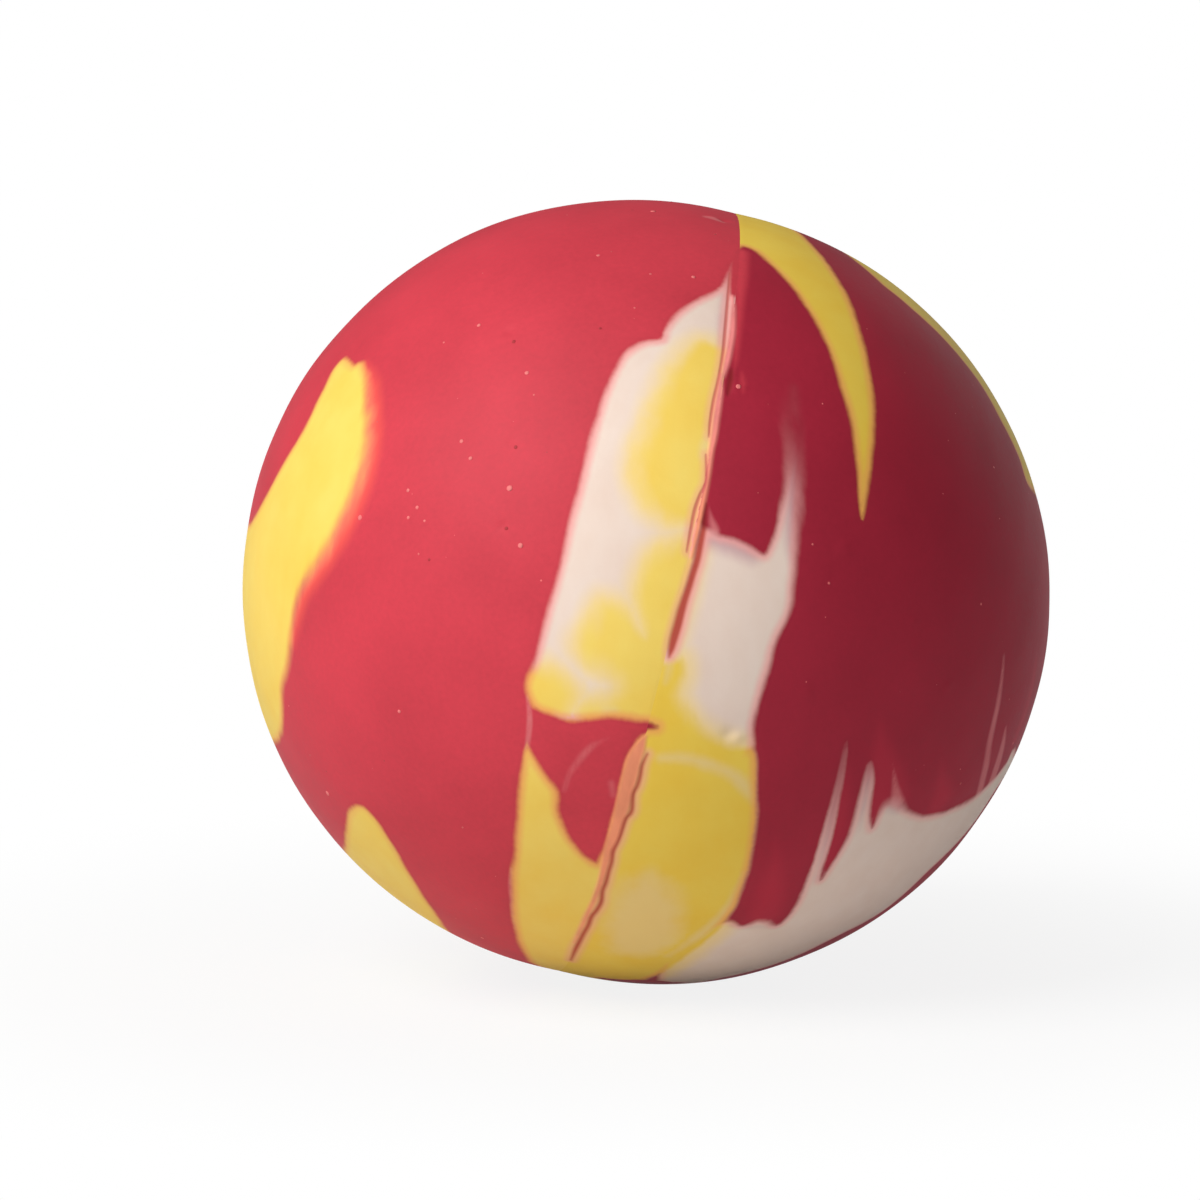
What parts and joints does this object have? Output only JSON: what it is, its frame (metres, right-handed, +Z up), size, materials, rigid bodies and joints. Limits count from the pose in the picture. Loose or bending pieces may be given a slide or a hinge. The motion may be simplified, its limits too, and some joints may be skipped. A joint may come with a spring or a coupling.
{
  "type": "bouncy ball",
  "caption": "Solid high-bounce rubber ball, marbled red, yellow and white, moulded from two half balls with a trimmed parting line.",
  "frame": {"origin": "centre of the ball", "axes": "+X to the right and nearly along the mould's axis, -Y towards the viewer, +Z up"},
  "size_m": [0.0322, 0.031, 0.0312],
  "materials": {
    "red_rubber": "matte",
    "yellow_rubber": "matte",
    "white_rubber": "matte",
    "cream_rubber": "matte",
    "flash_rubber": "matte"
  },
  "bodies": {
    "root": {"left_body": "red_rubber", "left_yellow_streak": "yellow_rubber", "left_yellow_wedge": "yellow_rubber", "left_white_band": "white_rubber", "left_upper_cloud": "yellow_rubber", "left_lower_cloud": "yellow_rubber", "left_red_flap": "red_rubber", "left_yellow_tail": "yellow_rubber", "left_rear_white_band": "white_rubber", "left_rear_yellow_cloud": "yellow_rubber", "left_rear_yellow_streak": "yellow_rubber", "right_body": "red_rubber", "right_yellow_crescent": "yellow_rubber", "right_edge_streak": "yellow_rubber", "right_white_band": "white_rubber", "right_yellow_lobe": "yellow_rubber", "right_lobe_veil": "cream_rubber", "right_lobe_wisp": "cream_rubber", "right_white_patch": "white_rubber", "right_rear_white_band": "white_rubber", "right_rear_yellow_streak": "yellow_rubber", "right_rear_yellow_lobe": "yellow_rubber", "upper_flash": "flash_rubber", "middle_flash": "flash_rubber", "lower_flash": "flash_rubber", "rear_flash": "flash_rubber"}
  },
  "joints": []
}
